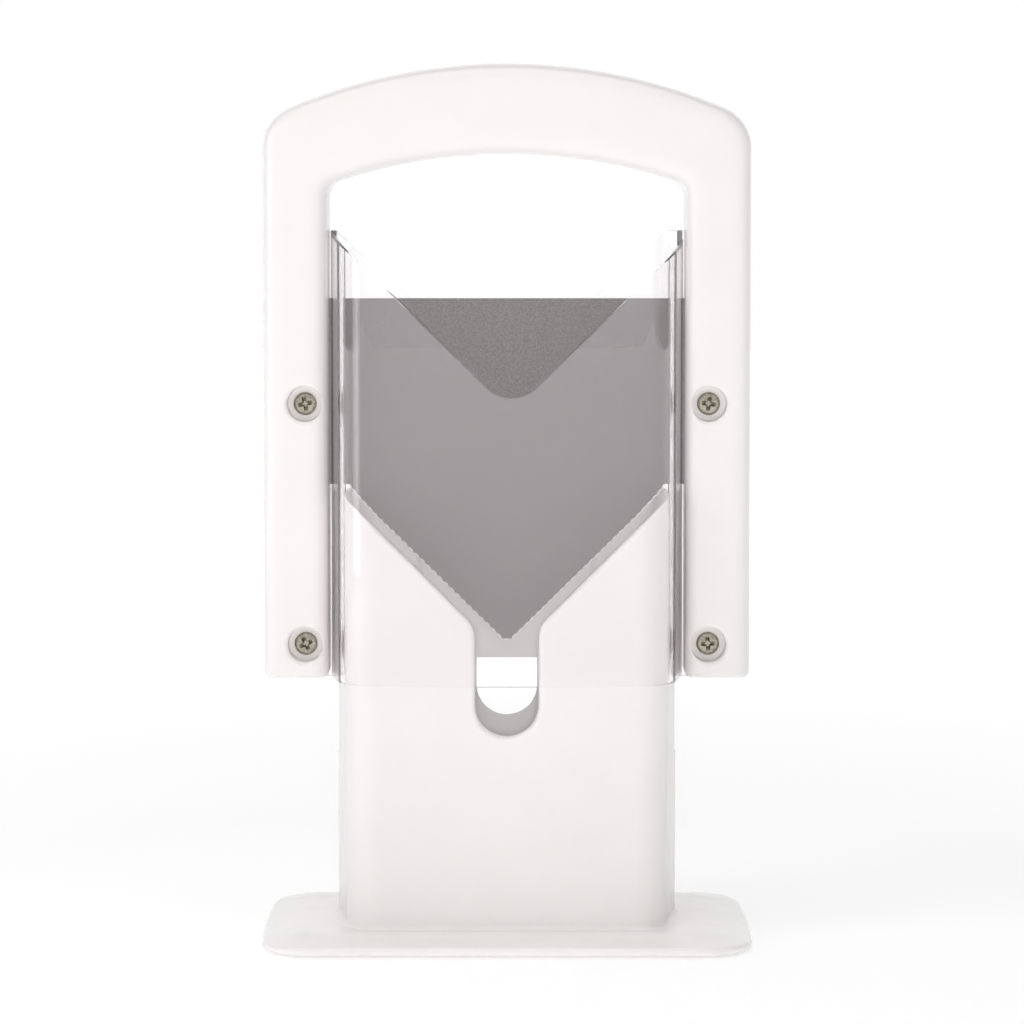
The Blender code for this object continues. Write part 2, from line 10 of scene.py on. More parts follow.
import bmesh
import bpy
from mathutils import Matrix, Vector


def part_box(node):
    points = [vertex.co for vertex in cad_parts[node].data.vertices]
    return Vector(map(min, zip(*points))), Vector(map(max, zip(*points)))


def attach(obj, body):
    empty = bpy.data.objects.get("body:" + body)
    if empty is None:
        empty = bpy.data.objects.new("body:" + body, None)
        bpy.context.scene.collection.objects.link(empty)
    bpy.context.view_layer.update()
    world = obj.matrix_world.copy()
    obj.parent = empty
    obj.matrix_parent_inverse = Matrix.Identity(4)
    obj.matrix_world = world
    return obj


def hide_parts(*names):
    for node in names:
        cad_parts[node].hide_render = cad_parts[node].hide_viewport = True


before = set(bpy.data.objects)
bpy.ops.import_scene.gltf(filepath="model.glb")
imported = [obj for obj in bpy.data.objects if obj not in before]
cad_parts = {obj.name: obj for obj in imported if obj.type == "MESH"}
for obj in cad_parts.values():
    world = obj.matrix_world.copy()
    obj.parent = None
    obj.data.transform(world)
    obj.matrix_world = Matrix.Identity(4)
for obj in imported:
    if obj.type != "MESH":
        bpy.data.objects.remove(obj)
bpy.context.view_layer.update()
MM = 0.001

# Places and sizes that the frame gives.
HOLDER_LOW, HOLDER_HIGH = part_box("holder")
FRONT_LOW, FRONT_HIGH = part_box("handle_front")
REAR_LOW, REAR_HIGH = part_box("handle_rear")
SHIELD_LOW, SHIELD_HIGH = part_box("shield_front")
BLADE_LOW, BLADE_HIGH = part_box("blade")
PAD_LOW, PAD_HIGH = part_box("foot_1")

# Holder.
PAD_LIFT = HOLDER_LOW.z
FOOT_HALF_WIDTH = 89.5 * MM
FOOT_HALF_DEPTH = HOLDER_HIGH.y
FOOT_CORNER = 19.0 * MM
FOOT_RIM = 3.0 * MM
FOOT_TOP = 6.0 * MM
UNDERSIDE = PAD_LIFT + 1.6 * MM
COLUMN_RIDGE_X = 62.3 * MM          # widest point of the column, at the blade's plane
COLUMN_CORNER_X = 56.8 * MM         # where the side planes meet the front plane
COLUMN_HALF_DEPTH = 29.0 * MM
COLUMN_CORNER = 12.0 * MM
COLUMN_TOP = HOLDER_HIGH.z
WALL = 2.8 * MM
RIM_ROUND = 0.9 * MM
POCKET_FLOOR = FOOT_TOP - 2.0 * MM
NOTCH_APEX_FRONT = 104.5 * MM       # height where the notch's two slopes would meet
NOTCH_APEX_REAR = 109.5 * MM
SLOT_HALF_WIDTH = 11.4 * MM
SLOT_BOTTOM = 76.1 * MM
NOTCH_ROUND = 10.0 * MM
OPENING_FILLET = 1.8 * MM
WINDOW_TOP = 98.0 * MM
BLADE_SLIT_HALF = 2.5 * MM
BLADE_SLIT_BOTTOM = 66.8 * MM
SIDE_SLOPE = (COLUMN_RIDGE_X - COLUMN_CORNER_X) / COLUMN_HALF_DEPTH
RIB_X = 32.5 * MM
RIB_THICKNESS = 2.0 * MM
RIB_TOP = 136.0 * MM
RIB_REACH = 13.0 * MM               # distance from the blade's plane, above the rib's foot
RIB_FOOT_TOP = 57.0 * MM
RIB_FOOT_REACH = 2.0 * MM

# Handle.
HANDLE_HALF_WIDTH = FRONT_HIGH.x
HANDLE_INNER = 65.0 * MM
HANDLE_HALF_DEPTH = REAR_HIGH.y
HANDLE_TOP = FRONT_HIGH.z
HANDLE_UNDERSIDE = HANDLE_TOP - 32.6 * MM
LEG_BOTTOM = FRONT_LOW.z
LEG_HALF = (HANDLE_HALF_WIDTH - HANDLE_INNER) / 2
OUTER_ARCH = 204.0 * MM
INNER_ARCH = 197.0 * MM
SECTION_POWER = 4.4                 # roundness of the oval section: 2 is an ellipse
SPLIT_GAP = REAR_LOW.y

# Shields and blade.
SHIELD_TOP = SHIELD_HIGH.z
SHIELD_BOTTOM = SHIELD_LOW.z
SHIELD_WALL = 2.2 * MM
SHIELD_NOTCHES = {"front": 193.5 * MM, "rear": 198.3 * MM}
SHIELD_NOTCH_ROUND = 12.4 * MM
SHIELD_NOTCH_OFFSET = 1.7 * MM      # both shields have their notch this far off centre
SHIELD_EDGE = 0.35 * MM             # bevel along the top, the bottom and the flanges
SHIELD_RIM = 0.7 * MM               # radius of the V notch's rims
BLADE_TOP = BLADE_HIGH.z
BLADE_TIP = BLADE_LOW.z
BLADE_HALF_WIDTH = BLADE_HIGH.x
BLADE_THICKNESS = BLADE_HIGH.y - BLADE_LOW.y
BLADE_SHOULDER = 165.5 * MM
BLADE_TIP_HALF = 2.2 * MM
TOOTH_DEPTH = 0.55 * MM
TEETH_PER_SIDE = 27
BLADE_BEVEL = 0.6 * MM              # width of the ground edge, seen from the front
FLANGE_INNER = SHIELD_WALL + SHIELD_HIGH.y
FLANGE_OUTER = FLANGE_INNER + SHIELD_WALL
FLANGE_END = SHIELD_HIGH.x

# Screws, their holes, and the gap that fitted pieces keep.
GAP = 0.3 * MM                      # between pieces that would touch
HEAD_RADIUS = 4.2 * MM
HEAD_HEIGHT = 2.6 * MM
SHANK_RADIUS = 2.0 * MM
CLEAR_HOLE = SHANK_RADIUS + GAP
COUNTERBORE_RADIUS = 6.4 * MM
COUNTERBORE_FLOOR = 8.0 * MM

# ---------------------------------------------------------------- outlines

def arc(center, radius, start, end, steps):
    """Points on an arc, from the start angle to the end angle in degrees."""
    points = []
    for i in range(steps + 1):
        angle = math.radians(start + (end - start) * i / steps)
        points.append((center[0] + radius * math.cos(angle), center[1] + radius * math.sin(angle)))
    return points


def round_corner(before, corner, after, radius, steps):
    """Arc that rounds the corner between two straight lines."""
    corner = Vector(corner)
    to_before = (Vector(before) - corner).normalized()
    to_after = (Vector(after) - corner).normalized()
    half = to_before.angle(to_after) / 2
    reach = radius / math.tan(half)
    start = corner + to_before * reach
    end = corner + to_after * reach
    center = corner + (to_before + to_after).normalized() * (radius / math.sin(half))
    first = (start - center).normalized()
    turn = first.angle_signed((end - center).normalized())
    points = []
    for i in range(steps + 1):
        angle = -turn * i / steps
        direction = Vector((first.x * math.cos(angle) - first.y * math.sin(angle),
                            first.x * math.sin(angle) + first.y * math.cos(angle)))
        points.append(tuple(center + direction * radius))
    return points


def rounded_polygon(corners, steps=14):
    """Closed outline through (x, y, radius) corners, each rounded by its own radius."""
    points = []
    for i, (x, y, radius) in enumerate(corners):
        before = corners[i - 1][:2]
        after = corners[(i + 1) % len(corners)][:2]
        if radius:
            points += round_corner(before, (x, y), after, radius, steps)
        else:
            points.append((x, y))
    return points


def mirrored(half):
    """Closed outline from its right half, listed from one end on the middle line to the other."""
    return half + [(-x, y) for x, y in reversed(half) if abs(x) > 1e-7]


def blended(first, second, share):
    """Outline part of the way from one outline to another with as many points."""
    return [(a[0] + (b[0] - a[0]) * share, a[1] + (b[1] - a[1]) * share)
            for a, b in zip(first, second)]


# ---------------------------------------------------------------- meshes

def skin(rings):
    """Closed solid skinned over rings of 3D points, with a flat face at each end."""
    bm = bmesh.new()
    rows = [[bm.verts.new(point) for point in ring] for ring in rings]
    count = len(rows[0])
    for low, high in zip(rows, rows[1:]):
        for i in range(count):
            j = (i + 1) % count
            bm.faces.new((low[i], low[j], high[j], high[i]))
    bm.faces.new(list(reversed(rows[0])))
    bm.faces.new(rows[-1])
    return bm


def level(outline, height):
    """Ring of 3D points: the outline laid flat at a height."""
    return [(x, y, height) for x, y in outline]


def upright(outline, depth):
    """Ring of 3D points: the (x, z) outline stood up at a depth along Y."""
    return [(x, depth, z) for x, z in outline]


def block(low, high):
    """Block from its lowest corner to its highest."""
    outline = [(low[0], low[1]), (high[0], low[1]), (high[0], high[1]), (low[0], high[1])]
    return skin([level(outline, low[2]), level(outline, high[2])])


def turned(profile, place, segments=48):
    """Solid turned about an axis along Y. The profile is (radius, distance towards the front)."""
    rings = []
    for radius, forward in profile:
        circle = arc((place[0], place[2]), max(radius, 0.01 * MM), 0.0, 360.0, segments)[:-1]
        rings.append(upright(circle, place[1] - forward))
    return skin(rings)


def new_object(name, bm):
    bmesh.ops.recalc_face_normals(bm, faces=bm.faces)
    mesh = bpy.data.meshes.new(name)
    bm.to_mesh(mesh)
    bm.free()
    obj = bpy.data.objects.new(name, mesh)
    bpy.context.scene.collection.objects.link(obj)
    return obj


def combine(obj, bm, operation="DIFFERENCE"):
    """Cuts a solid from the object, or joins it on, and keeps only the resulting mesh."""
    tool = new_object("tool", bm)
    modifier = obj.modifiers.new("combine", "BOOLEAN")
    modifier.operation = operation
    modifier.object = tool
    apply_modifiers(obj)
    bpy.data.objects.remove(tool)


def apply_modifiers(obj):
    depsgraph = bpy.context.evaluated_depsgraph_get()
    result = bpy.data.meshes.new_from_object(obj.evaluated_get(depsgraph))
    old = obj.data
    obj.modifiers.clear()
    obj.data = result
    bpy.data.meshes.remove(old)


def soften(obj, width):
    """Bevels the sharp convex edges."""
    bm = bmesh.new()
    bm.from_mesh(obj.data)
    bmesh.ops.remove_doubles(bm, verts=bm.verts, dist=0.02 * MM)
    bmesh.ops.dissolve_degenerate(bm, edges=bm.edges, dist=0.02 * MM)
    edges = [edge for edge in bm.edges
             if len(edge.link_faces) == 2 and edge.is_convex
             and edge.calc_face_angle() > math.radians(50.0)]
    bmesh.ops.bevel(bm, geom=edges, offset=width, offset_type="OFFSET", segments=2,
                    profile=0.5, affect="EDGES", clamp_overlap=True)
    bm.to_mesh(obj.data)
    bm.free()


def finish_piece(obj, body, node, materials):
    """Shades the piece, gives it its materials and sets it in the frame in the node's place."""
    obj.data.materials.clear()
    for material in materials:
        obj.data.materials.append(material)
    obj.data.shade_smooth()
    obj.data.set_sharp_from_angle(angle=math.radians(32.0))
    weighted = obj.modifiers.new("weighted_normals", "WEIGHTED_NORMAL")
    weighted.keep_sharp = True
    weighted.weight = 60
    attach(obj, body)
    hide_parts(node)
    return obj


# ---------------------------------------------------------------- material nodes

def new_material(name):
    material = bpy.data.materials.new(name)
    material.use_nodes = True
    tree = material.node_tree
    return material, tree, tree.nodes["Principled BSDF"]


def noise(tree, scale, detail=2.0, roughness=0.5):
    """Noise in the piece's own coordinates. The scale is in features per metre."""
    place = tree.nodes.new("ShaderNodeTexCoord")
    node = tree.nodes.new("ShaderNodeTexNoise")
    node.inputs["Scale"].default_value = scale
    node.inputs["Detail"].default_value = detail
    node.inputs["Roughness"].default_value = roughness
    tree.links.new(place.outputs["Object"], node.inputs["Vector"])
    return node.outputs["Fac"]


def spread(tree, source, low, high, start=0.3, end=0.7):
    """Maps a source's range, by default the middle of a noise, to the range between two values."""
    node = tree.nodes.new("ShaderNodeMapRange")
    node.inputs["From Min"].default_value = start
    node.inputs["From Max"].default_value = end
    node.inputs["To Min"].default_value = low
    node.inputs["To Max"].default_value = high
    tree.links.new(source, node.inputs["Value"])
    return node.outputs["Result"]


def ramp(tree, source, stops):
    """Colour ramp through (position, colour) stops."""
    node = tree.nodes.new("ShaderNodeValToRGB")
    elements = node.color_ramp.elements
    while len(elements) < len(stops):
        elements.new(0.5)
    for element, (position, color) in zip(elements, stops):
        element.position = position
        element.color = (*color, 1.0)
    tree.links.new(source, node.inputs["Fac"])
    return node.outputs["Color"]


def bump(tree, source, strength, distance):
    node = tree.nodes.new("ShaderNodeBump")
    node.inputs["Strength"].default_value = strength
    node.inputs["Distance"].default_value = distance
    tree.links.new(source, node.inputs["Height"])
    return node.outputs["Normal"]


def shade(color, factor):
    return tuple(channel * factor for channel in color)


def white_plastic(name, color, roughness, glow_through=0.0):
    """Glossy moulded plastic: faint flow marks in colour, gloss and surface, and thin walls that
    let some light through.
    """
    material, tree, shader = new_material(name)
    flow = noise(tree, 45.0, 3.0)
    color_out = ramp(tree, flow, [(0.35, shade(color, 0.985)), (0.65, color)])
    tree.links.new(color_out, shader.inputs["Base Color"])
    gloss = spread(tree, noise(tree, 120.0, 2.0), roughness - 0.03, roughness + 0.03)
    tree.links.new(gloss, shader.inputs["Roughness"])
    ripple = bump(tree, noise(tree, 700.0, 1.0), 0.05, 0.02 * MM)
    tree.links.new(ripple, shader.inputs["Normal"])
    shader.inputs["IOR"].default_value = 1.5
    shader.inputs["Subsurface Weight"].default_value = glow_through
    shader.inputs["Subsurface Radius"].default_value = (1.0, 1.0, 1.0)
    shader.inputs["Subsurface Scale"].default_value = 5.0 * MM
    return material


def clear_acrylic(name):
    """Clear sheet: real glass to the eye, while lamps and bounced light pass straight through."""
    material, tree, shader = new_material(name)
    shader.inputs["Base Color"].default_value = (0.99, 0.975, 0.98, 1.0)
    shader.inputs["Transmission Weight"].default_value = 0.97
    shader.inputs["IOR"].default_value = 1.49
    gloss = spread(tree, noise(tree, 60.0, 2.0), 0.004, 0.012)
    tree.links.new(gloss, shader.inputs["Roughness"])
    clear = tree.nodes.new("ShaderNodeBsdfTransparent")
    clear.inputs["Color"].default_value = (0.96, 0.95, 0.955, 1.0)
    path = tree.nodes.new("ShaderNodeLightPath")
    either = tree.nodes.new("ShaderNodeMath")
    either.operation = "MAXIMUM"
    tree.links.new(path.outputs["Is Shadow Ray"], either.inputs[0])
    tree.links.new(path.outputs["Is Diffuse Ray"], either.inputs[1])
    mix = tree.nodes.new("ShaderNodeMixShader")
    tree.links.new(either.outputs["Value"], mix.inputs["Fac"])
    tree.links.new(shader.outputs["BSDF"], mix.inputs[1])
    tree.links.new(clear.outputs["BSDF"], mix.inputs[2])
    tree.links.new(mix.outputs["Shader"], tree.nodes["Material Output"].inputs["Surface"])
    return material


def blade_coating(name):
    """Grey release coating with fine dark grain and a few bright flecks."""
    material, tree, shader = new_material(name)
    grain = noise(tree, 1500.0, 3.0, 0.65)
    color_out = ramp(tree, grain, [(0.30, (0.188, 0.173, 0.173)), (0.52, (0.240, 0.222, 0.222)),
                                   (0.72, (0.300, 0.280, 0.280))])
    tree.links.new(color_out, shader.inputs["Base Color"])
    gloss = spread(tree, noise(tree, 900.0, 2.0), 0.42, 0.55)
    tree.links.new(gloss, shader.inputs["Roughness"])
    shader.inputs["Metallic"].default_value = 0.25
    tree.links.new(bump(tree, grain, 0.15, 0.03 * MM), shader.inputs["Normal"])
    return material


def ground_steel(name):
    """Bare steel of the ground edge, with fine grinding marks."""
    material, tree, shader = new_material(name)
    marks = noise(tree, 3000.0, 2.0)
    color_out = ramp(tree, marks, [(0.3, (0.84, 0.83, 0.82)), (0.7, (0.94, 0.93, 0.92))])
    tree.links.new(color_out, shader.inputs["Base Color"])
    shader.inputs["Metallic"].default_value = 0.2
    tree.links.new(spread(tree, marks, 0.35, 0.50), shader.inputs["Roughness"])
    return material


def nickel(name):
    material, tree, shader = new_material(name)
    wear = noise(tree, 900.0, 3.0)
    color_out = ramp(tree, wear, [(0.3, (0.30, 0.28, 0.22)), (0.7, (0.50, 0.47, 0.40))])
    tree.links.new(color_out, shader.inputs["Base Color"])
    shader.inputs["Metallic"].default_value = 1.0
    tree.links.new(spread(tree, wear, 0.16, 0.28), shader.inputs["Roughness"])
    tree.links.new(bump(tree, noise(tree, 2500.0, 1.0), 0.08, 0.02 * MM), shader.inputs["Normal"])
    return material


def pad_rubber(name):
    material, tree, shader = new_material(name)
    grain = noise(tree, 1800.0, 3.0)
    color_out = ramp(tree, grain, [(0.3, (0.52, 0.52, 0.51)), (0.7, (0.62, 0.62, 0.61))])
    tree.links.new(color_out, shader.inputs["Base Color"])
    tree.links.new(spread(tree, grain, 0.7, 0.85), shader.inputs["Roughness"])
    tree.links.new(bump(tree, grain, 0.3, 0.05 * MM), shader.inputs["Normal"])
    return material


# ---------------------------------------------------------------- holder

def column_outline(inset=0.0, ridge_round=4.0 * MM):
    """Plan of the column: flat front and back, and sides that rise to a ridge at the blade."""
    side = inset * math.hypot(1.0, SIDE_SLOPE)
    y = COLUMN_HALF_DEPTH - inset
    corner_x = COLUMN_RIDGE_X - side - SIDE_SLOPE * y
    corner = COLUMN_CORNER - inset
    ridge = COLUMN_RIDGE_X - side
    return rounded_polygon([(ridge, 0.0, ridge_round), (corner_x, y, corner), (-corner_x, y, corner),
                            (-ridge, 0.0, ridge_round), (-corner_x, -y, corner),
                            (corner_x, -y, corner)])


def foot_outline(inset):
    """Plan of the foot plate: a rounded rectangle whose ends bow out slightly."""
    x = FOOT_HALF_WIDTH - inset
    y = FOOT_HALF_DEPTH - inset
    bow = 1.6 * MM
    corner = max(FOOT_CORNER - inset, 4.0 * MM)
    return rounded_polygon([(x, 0.0, 60.0 * MM), (x - bow, y, corner), (-x + bow, y, corner),
                            (-x, 0.0, 60.0 * MM), (-x + bow, -y, corner), (x - bow, -y, corner)])


def underside_rings():
    """The recess that holds the pads, and the flat band round it."""
    recess = 4.5 * MM
    soft = 0.4 * MM
    return [level(foot_outline(recess + soft), UNDERSIDE),
            level(foot_outline(recess + 0.3 * soft), UNDERSIDE - 0.3 * soft),
            level(foot_outline(recess), UNDERSIDE - soft),
            level(foot_outline(recess), PAD_LIFT + soft),
            level(foot_outline(recess - 0.3 * soft), PAD_LIFT + 0.3 * soft),
            level(foot_outline(recess - soft), PAD_LIFT)]


def plate_rings():
    """The plate's rounded rim, then its domed top, rising towards the column."""
    radius = FOOT_RIM / 2
    dome_width = 26.0 * MM
    band = 10.0 * MM
    dome_rise = FOOT_TOP - PAD_LIFT - FOOT_RIM
    lean = math.degrees(math.atan(dome_rise * math.pi / 2 / dome_width))
    rings = []
    for x, z in arc((0.0, 0.0), radius, -90.0, 90.0 - lean, 12):
        rings.append(level(foot_outline(radius - x), PAD_LIFT + radius + z))
    start_inset = radius * (1 - math.sin(math.radians(lean)))
    start_z = PAD_LIFT + radius * (1 + math.cos(math.radians(lean)))
    plate = foot_outline(start_inset + band)
    fillet = column_outline(-2.2 * MM)
    for i in range(1, 4):
        inset = band * i / 3
        z = start_z + (FOOT_TOP - start_z) * math.sin(math.pi / 2 * inset / dome_width)
        rings.append(level(foot_outline(start_inset + inset), z))
    for i in range(1, 6):
        share = i / 5
        inset = band + (dome_width - band) * share
        z = start_z + (FOOT_TOP - start_z) * math.sin(math.pi / 2 * inset / dome_width)
        rings.append(level(blended(plate, fillet, share), z))
    return rings


def column_rings():
    """Fillet at the foot, the upright walls, and the rounded outer edge of the rim."""
    fillet = 2.2 * MM
    rings = []
    for i in range(1, 9):
        angle = math.radians(90.0 * i / 8)
        rings.append(level(column_outline(-fillet * (1 - math.sin(angle))),
                           FOOT_TOP + fillet * (1 - math.cos(angle))))
    for i in range(6):
        angle = math.radians(90.0 * i / 5)
        rings.append(level(column_outline(RIM_ROUND * (1 - math.cos(angle))),
                           COLUMN_TOP - RIM_ROUND * (1 - math.sin(angle))))
    return rings


def pocket():
    """Inside of the column, with a rounded floor edge and a rim that flares to a soft edge."""
    floor_round = 1.8 * MM
    rings = []
    for i in range(6):
        angle = math.radians(90.0 * i / 5)
        rings.append(level(column_outline(WALL + floor_round * (1 - math.sin(angle))),
                           POCKET_FLOOR + floor_round * (1 - math.cos(angle))))
    for i in range(6):
        angle = math.radians(90.0 * i / 5)
        rings.append(level(column_outline(WALL - RIM_ROUND * (1 - math.cos(angle))),
                           COLUMN_TOP - RIM_ROUND * (1 - math.sin(angle))))
    rings.append(level(column_outline(WALL - RIM_ROUND), COLUMN_TOP + MM))
    return skin(rings)


def guide_rib(x, face):
    """Rib inside a wall: a sloped top that guides the bagel in, and a foot that it stands on."""
    half = RIB_THICKNESS / 2
    soft = 0.8 * MM
    wall = COLUMN_HALF_DEPTH - WALL + 0.5 * MM
    foot = POCKET_FLOOR - 0.4 * MM
    profile = [(wall, foot), (RIB_FOOT_REACH, foot), (RIB_FOOT_REACH, RIB_FOOT_TOP - soft),
               (RIB_FOOT_REACH + soft, RIB_FOOT_TOP), (RIB_REACH - soft, RIB_FOOT_TOP),
               (RIB_REACH, RIB_FOOT_TOP + soft), (wall - 2.2 * MM, RIB_TOP - 2.5 * MM),
               (wall - 1.6 * MM, RIB_TOP - 1.0 * MM), (wall, RIB_TOP)]
    rings = []
    for offset in (-half, half):
        rings.append([(x + offset, face * y, z) for y, z in profile])
    return skin(rings)


def notch_outline(apex, grow):
    """V opening with a round-bottomed slot under it, as an (x, z) outline grown on all sides."""
    width = SLOT_HALF_WIDTH + grow
    foot = apex - grow * math.sqrt(2.0)
    top = COLUMN_TOP + 20.0 * MM
    wide = top - foot
    centre = SLOT_BOTTOM + SLOT_HALF_WIDTH
    half = arc((0.0, centre), width, -90.0, 0.0, 20)
    half += round_corner((width, centre), (width, foot + width), (wide, top), NOTCH_ROUND - grow, 12)
    half.append((wide, top))
    return mirrored(half)


def v_outline(apex, shift, top, radius, grow, steps):
    """V opening as an (x, z) outline with a rounded foot, grown square to its slopes."""
    foot = apex - grow * math.sqrt(2.0)
    wide = top - foot
    return rounded_polygon([(shift - wide, top, 0.0), (shift, foot, radius + grow),
                            (shift + wide, top, 0.0)], steps=steps)


def plain_notch_outline(apex, grow):
    """The rear wall's V opening."""
    return v_outline(apex, 0.0, COLUMN_TOP + 20.0 * MM, NOTCH_ROUND, grow, 16)


def window_outline(centre, grow):
    """Flat-topped opening in the rear wall, in line with the front slot."""
    width = SLOT_HALF_WIDTH + grow
    half = arc((0.0, centre), width, -90.0, 0.0, 20)
    half.append((width, WINDOW_TOP + grow))
    return mirrored(half)


def opening(outline, value, side, fillet):
    """Cutter for an opening in one wall, whose mouth flares into a fillet on the outer face."""
    rings = [upright(outline(value, 0.0), side * 5.0 * MM)]
    for i in range(7):
        angle = math.radians(15.0 * i)
        depth = COLUMN_HALF_DEPTH - fillet * (1 - math.sin(angle))
        rings.append(upright(outline(value, fillet * (1 - math.cos(angle))), side * depth))
    rings.append(upright(outline(value, fillet), side * (COLUMN_HALF_DEPTH + 4.0 * MM)))
    return skin(rings)


def through(outline, near, far):
    """Straight cutter with an (x, z) outline, from one depth to another."""
    return skin([upright(outline, near), upright(outline, far)])


def make_holder(material):
    holder = new_object("holder_body", skin(underside_rings() + plate_rings() + column_rings()))
    combine(holder, pocket())
    for side in (-1, 1):
        for face in (-1, 1):
            combine(holder, guide_rib(side * RIB_X, face), "UNION")
    combine(holder, opening(notch_outline, NOTCH_APEX_FRONT, -1, OPENING_FILLET))
    combine(holder, opening(plain_notch_outline, NOTCH_APEX_REAR, 1, OPENING_FILLET))
    combine(holder, opening(window_outline, SLOT_BOTTOM + SLOT_HALF_WIDTH, 1, 0.8 * MM))
    reach = 70.0 * MM
    combine(holder, block((-reach, -BLADE_SLIT_HALF, BLADE_SLIT_BOTTOM),
                          (reach, BLADE_SLIT_HALF, COLUMN_TOP + MM)))
    return finish_piece(holder, "holder", "holder", [material])


def make_pads(material):
    soft = 0.5 * MM
    for number in range(1, 5):
        name = f"foot_{number}"
        low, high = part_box(name)
        centre = (low + high) / 2
        radius = (high.x - low.x) / 2
        rings = []
        for inset, z in ((2.5 * MM, low.z + 0.1 * MM), (2.0 * MM, low.z), (soft, low.z),
                         (0.3 * soft, low.z + 0.3 * soft), (0.0, low.z + soft), (0.0, high.z)):
            rings.append(level(arc((centre.x, centre.y), radius - inset, 0.0, 360.0, 48)[:-1], z))
        pad = new_object(f"pad_{number}", skin(rings))
        finish_piece(pad, "holder", name, [material])


# ---------------------------------------------------------------- handle

def handle_outline(inset, bottom):
    """Inverted U. Insetting it keeps the centres of its arcs and changes their radii."""
    outer_center = HANDLE_TOP - OUTER_ARCH
    inner_center = HANDLE_UNDERSIDE - INNER_ARCH
    outer_round = 16.0 * MM
    inner_round = 6.0 * MM
    outer_x = HANDLE_HALF_WIDTH - outer_round
    inner_x = HANDLE_INNER - inner_round
    outer_z = outer_center + math.sqrt((OUTER_ARCH - outer_round) ** 2 - outer_x ** 2)
    inner_z = inner_center + math.sqrt((INNER_ARCH - inner_round) ** 2 - inner_x ** 2)
    outer_turn = math.degrees(math.atan2(outer_z - outer_center, outer_x))
    inner_turn = math.degrees(math.atan2(inner_z - inner_center, inner_x))
    foot = max(3.0 * MM - inset, 0.3 * MM)
    half = arc((0.0, inner_center), INNER_ARCH + inset, 90.0, inner_turn, 28)
    half += arc((inner_x, inner_z), inner_round + inset, inner_turn, 0.0, 16)[1:]
    half += arc((HANDLE_INNER + inset + foot, bottom + foot), foot, 180.0, 270.0, 6)
    half += arc((HANDLE_HALF_WIDTH - inset - foot, bottom + foot), foot, 270.0, 360.0, 6)
    half += arc((outer_x, outer_z), outer_round - inset, 0.0, outer_turn, 16)
    half += arc((0.0, outer_center), OUTER_ARCH - inset, outer_turn, 90.0, 28)[1:]
    return mirrored(half)


def handle_half(side):
    """Half of the handle, from the split plane outwards: its section is half of a full oval."""
    soft = 0.25 * MM
    rings = [(soft, SPLIT_GAP), (0.3 * soft, SPLIT_GAP + 0.3 * soft), (0.0, SPLIT_GAP + soft)]
    steps = 22
    power = 2 / SECTION_POWER
    for i in range(3, steps + 1):
        angle = math.radians(87.0 * i / steps)
        inset = LEG_HALF * (1 - math.cos(angle) ** power)
        rings.append((inset, HANDLE_HALF_DEPTH * math.sin(angle) ** power))
    solid = []
    for inset, depth in rings:
        outline = handle_outline(inset, LEG_BOTTOM + 0.35 * inset)
        solid.append([(x, side * depth, z) for x, z in outline])
    return skin(solid)


def between(x0, x1, y0, y1, z0, z1):
    """Block between two values on each axis, given in either order."""
    return block((min(x0, x1), min(y0, y1), min(z0, z1)), (max(x0, x1), max(y0, y1), max(z0, z1)))


def counterbore(x, z):
    """Screw hole with a wide counterbore, whose mouth flares to a soft edge."""
    flare = 1.2 * MM
    profile = [(CLEAR_HOLE, -MM), (CLEAR_HOLE, COUNTERBORE_FLOOR)]
    profile += [(COUNTERBORE_RADIUS - 0.6 * MM, COUNTERBORE_FLOOR),
                (COUNTERBORE_RADIUS - 0.15 * MM, COUNTERBORE_FLOOR + 0.15 * MM),
                (COUNTERBORE_RADIUS, COUNTERBORE_FLOOR + 0.6 * MM)]
    mouth = HANDLE_HALF_DEPTH - 0.25 * MM
    for i in range(7):
        angle = math.radians(90.0 * i / 6)
        profile.append((COUNTERBORE_RADIUS + flare * (1 - math.cos(angle)),
                        mouth - flare * (1 - math.sin(angle))))
    profile.append((COUNTERBORE_RADIUS + flare, HANDLE_HALF_DEPTH + MM))
    return turned(profile, (x, 0.0, z))


def make_handle_half(name, node, side, screws, material):
    half = new_object(name, handle_half(side))
    cavity_inset = 4.0 * MM
    cavity_depth = 10.0 * MM
    boss = 9.0 * MM
    upper = max(z for x, z in screws)
    lower = min(z for x, z in screws)
    arch = handle_outline(cavity_inset, upper + boss)
    combine(half, through(arch, 0.0, side * cavity_depth))
    for edge in (-1, 1):
        combine(half, between(edge * (HANDLE_INNER + cavity_inset),
                              edge * (HANDLE_HALF_WIDTH - cavity_inset), 0.0,
                              side * cavity_depth, lower + boss, upper - boss))
        combine(half, between(edge * (HANDLE_INNER - 2.0 * MM), edge * (FLANGE_END + GAP),
                              -side * MM, side * (FLANGE_OUTER + GAP), LEG_BOTTOM - 5.0 * MM,
                              SHIELD_TOP + GAP))
    for x, z in screws:
        if side < 0:
            combine(half, counterbore(x, z))
        else:
            combine(half, turned([(CLEAR_HOLE, MM), (CLEAR_HOLE, -9.5 * MM)], (x, 0.0, z)))
    return finish_piece(half, "carrier", node, [material])


# ---------------------------------------------------------------- blade

